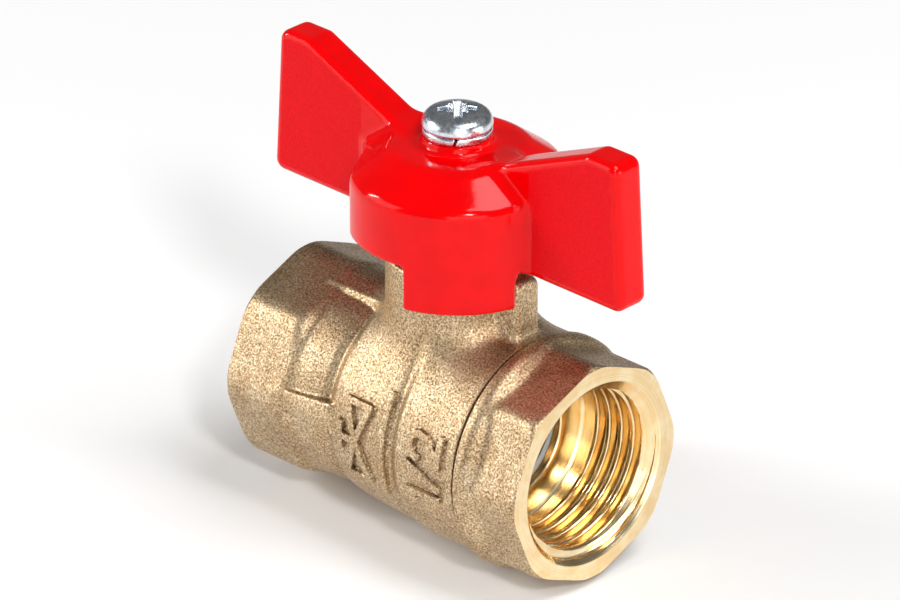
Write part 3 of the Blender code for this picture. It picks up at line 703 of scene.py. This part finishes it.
def stop_sectors(x, y):
    """Distance outside the two sectors of the hub wall that are carried down as stop skirts."""
    along, aside = turned(x, y, SKIRT_MIDDLE)
    return np.abs(aside) * cos(SKIRT_HALF_SPAN) - np.abs(along) * sin(SKIRT_HALF_SPAN)


def shrunk(corners, by):
    """The outline moved inward, so that adding the same radius rounds its corners."""
    result = []
    for index, (x, z) in enumerate(corners):
        before, after = corners[index - 1], corners[(index + 1) % len(corners)]
        here = Vector((x, z))
        one = (Vector(before) - here).normalized()
        two = (Vector(after) - here).normalized()
        normal_one, normal_two = Vector((one.y, -one.x)), Vector((-two.y, two.x))
        middle = (normal_one + normal_two).normalized()
        result.append(tuple(here + middle * by / middle.dot(normal_one)))
    return result


WING_CORE = shrunk(WING_OUTLINE, WING_CORNER)


def make_handle():
    handle = skin("handle_coated", handle_field, handle_low, handle_high, HANDLE_CELL)
    handle.data.materials.append(materials["red_gloss"])
    handle.data.materials.append(materials["red_grained"])
    for face in handle.data.polygons:
        x, y, _ = face.center / MM
        flat = abs(face.normal.y) > FLAT_ENOUGH and abs(abs(y) - WING_HALF_THICKNESS) < 0.05
        if flat and abs(x) > GRAINED_FROM:
            face.material_index = 1
    return handle


SCREW_LOW = BOSS_TOP + 0.97
SCREW_TOP = 38.2
SCREW_RADIUS = 4.0
SCREW_CROWN = 9.5
SHANK_RADIUS = 1.9
SHANK_LOW = 25.7
RECESS_TURN = radians(45)
CROSS_DEPTH = 1.75
NOTCH_DEPTH = 1.2
CORE_DEPTH = 1.9
WASHER_RADIUS = 3.1         # middle of the wire
WASHER_HALF_WIDTH = 0.85
WASHER_MIDDLE = BOSS_TOP + 0.49
WASHER_HALF_HEIGHT = 0.45
WASHER_SPLIT_TURN = radians(-50)
WASHER_SPLIT_HALF_GAP = 0.16
WASHER_SPLIT_SLANT = 0.35


def screw_field(x, y, z):
    across = np.sqrt(x * x + y * y)
    head = soft_max(across - SCREW_RADIUS, SCREW_LOW - z, 0.35)
    crown = np.sqrt(across ** 2 + (z - SCREW_TOP + SCREW_CROWN) ** 2) - SCREW_CROWN
    head = soft_max(head, crown, 0.9)
    shank = np.maximum(across - SHANK_RADIUS, between(z, (SHANK_LOW, SCREW_LOW + 0.5)))
    solid = np.minimum(head, shank)
    u, v = turned(x, y, RECESS_TURN)
    depth = SCREW_TOP - z
    recess = 9.0
    for one, other in ((u, v), (v, u)):
        arm = np.maximum(np.abs(one) - (2.45 - 0.75 * depth), np.abs(other) - (0.52 - 0.1 * depth))
        recess = np.minimum(recess, np.maximum(arm, depth - CROSS_DEPTH))
    for one, other in ((x, y), (y, x)):
        notch = np.maximum(np.abs(one) - (1.75 - 1.1 * depth), np.abs(other) - 0.16)
        recess = np.minimum(recess, np.maximum(notch, depth - NOTCH_DEPTH))
    core = np.maximum(across - (1.25 - 0.4 * depth), depth - CORE_DEPTH)
    return soft_max(solid, -soft_min(recess, core, 0.15), 0.12)


def washer_field(x, y, z):
    across = np.sqrt(x * x + y * y)
    wire = np.abs(across - WASHER_RADIUS) - WASHER_HALF_WIDTH
    ring = soft_max(wire, np.abs(z - WASHER_MIDDLE) - WASHER_HALF_HEIGHT, 0.3)
    along, aside = turned(x, y, WASHER_SPLIT_TURN)
    aside = aside - WASHER_SPLIT_SLANT * (z - BOSS_TOP - 0.5)
    split = np.maximum(np.abs(aside) - WASHER_SPLIT_HALF_GAP, -along)
    return soft_max(ring, -split, 0.1)


def make_screw():
    screw = skin(
        "handle_screw_plated", screw_field, (-4.0, -4.0, 25.6), (4.0, 4.0, SCREW_TOP), SCREW_CELL)
    screw.data.materials.append(materials["zinc_plate"])
    return screw


def make_washer():
    washer = skin(
        "spring_washer_plated", washer_field, (-4.0, -4.0, BOSS_TOP), (4.0, 4.0, BOSS_TOP + 1.0),
        SCREW_CELL)
    washer.data.materials.append(materials["zinc_plate"])
    return washer


# --- Camera, light and floor --------------------------------------------------------------------------
WORLD_STRENGTH = 0.15
LIGHTS = [      # name, place in metres, size in metres, power in watts
    ("key", (-0.64, -0.74, 0.31), (0.75, 0.58), 3.4),
    ("strip", (-0.72, -0.45, 0.42), (0.06, 0.30), 2.8),
    ("front_right", (0.84, -0.62, 0.24), (0.8, 0.44), 2.4),
    ("near_camera", (0.66, -0.44, 0.62), (0.12, 0.12), 3.4),
    ("over", (0.45, 0.12, 0.95), (0.5, 0.5), 6.5),
    ("right", (0.95, 0.35, 0.16), (0.5, 0.4), 3.0),
]
CAMERA_AZIMUTH = radians(44.0)
CAMERA_ELEVATION = radians(26.9)
CAMERA_DISTANCE = 0.902
CAMERA_LENS = 320.0
CAMERA_AIM = (-0.00083, 0.01268)    # to the right of and above the origin, in the picture's plane
FLOOR_REACH = 6.0
FLOOR_DROP = 0.0001


def make_camera():
    a, e = CAMERA_AZIMUTH, CAMERA_ELEVATION
    back = Vector((sin(a) * cos(e), -cos(a) * cos(e), sin(e)))
    right = Vector((cos(a), sin(a), 0.0))
    up = back.cross(right)
    target = CAMERA_AIM[0] * right + CAMERA_AIM[1] * up
    data = bpy.data.cameras.new("camera")
    data.lens = CAMERA_LENS
    data.clip_start, data.clip_end = 0.05, 20.0
    camera = bpy.data.objects.new("camera", data)
    camera.location = target + back * CAMERA_DISTANCE
    camera.rotation_mode = "QUATERNION"
    camera.rotation_quaternion = (-back).to_track_quat("-Z", "Y")
    bpy.context.scene.collection.objects.link(camera)
    bpy.context.scene.camera = camera


def area_light(name, place, size, power):
    data = bpy.data.lights.new(name, "AREA")
    data.shape = "RECTANGLE"
    data.size, data.size_y = size
    data.energy = power
    light = bpy.data.objects.new(name, data)
    light.location = place
    light.rotation_mode = "QUATERNION"
    light.rotation_quaternion = Vector(place).to_track_quat("Z", "Y")
    bpy.context.scene.collection.objects.link(light)


def make_studio():
    floor_mesh = bpy.data.meshes.new("floor")
    reach, level = FLOOR_REACH, cad_low.z - FLOOR_DROP
    floor_mesh.from_pydata(
        [(-reach, -reach, level), (reach, -reach, level), (reach, reach, level), (-reach, reach, level)],
        [], [(0, 1, 2, 3)])
    floor = bpy.data.objects.new("floor", floor_mesh)
    bpy.context.scene.collection.objects.link(floor)
    paper = bpy.data.materials.new("paper")
    paper.use_nodes = True
    shader = paper.node_tree.nodes["Principled BSDF"]
    shader.inputs["Base Color"].default_value = (0.95, 0.95, 0.95, 1.0)
    shader.inputs["Roughness"].default_value = 0.9
    floor_mesh.materials.append(paper)
    world = bpy.data.worlds.new("studio")
    bpy.context.scene.world = world
    world.use_nodes = True
    background = world.node_tree.nodes["Background"]
    background.inputs["Color"].default_value = (1.0, 1.0, 1.0, 1.0)
    background.inputs["Strength"].default_value = WORLD_STRENGTH
    for name, place, size, power in LIGHTS:
        area_light(name, place, size, power)
    bpy.context.scene.view_settings.view_transform = "Standard"


# --- Assembly ---------------------------------------------------------------------------------------------
BODY_CELL = 0.16
HANDLE_CELL = 0.25
SCREW_CELL = 0.07

make_camera()
make_studio()

PIECES = [
    (make_body, "casing", "body", "cast_brass"),
    (make_connector, "casing", "end_connector", "cast_brass"),
    (make_handle, "stem_and_handle", "handle", "red_coating"),
    (make_screw, "stem_and_handle", "handle_screw", "zinc_plate"),
    (make_washer, "stem_and_handle", "handle_spring_washer", "zinc_plate"),
]
for make, body, node, slot in PIECES:
    piece = make()
    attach(piece, body)
    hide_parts(node)

KEPT = {
    "ball": "chrome_plate", "seat_ring_inlet": "white_ptfe", "seat_ring_outlet": "white_ptfe",
    "stem": "machined_brass", "stem_thrust_washer": "white_ptfe", "stem_packing": "white_ptfe",
    "stem_o_ring_lower": "black_rubber", "stem_o_ring_upper": "black_rubber",
    "gland_nut": "machined_brass"}
for node, finish in KEPT.items():
    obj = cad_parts[node]
    for place in obj.material_slots:
        place.material = materials[finish]
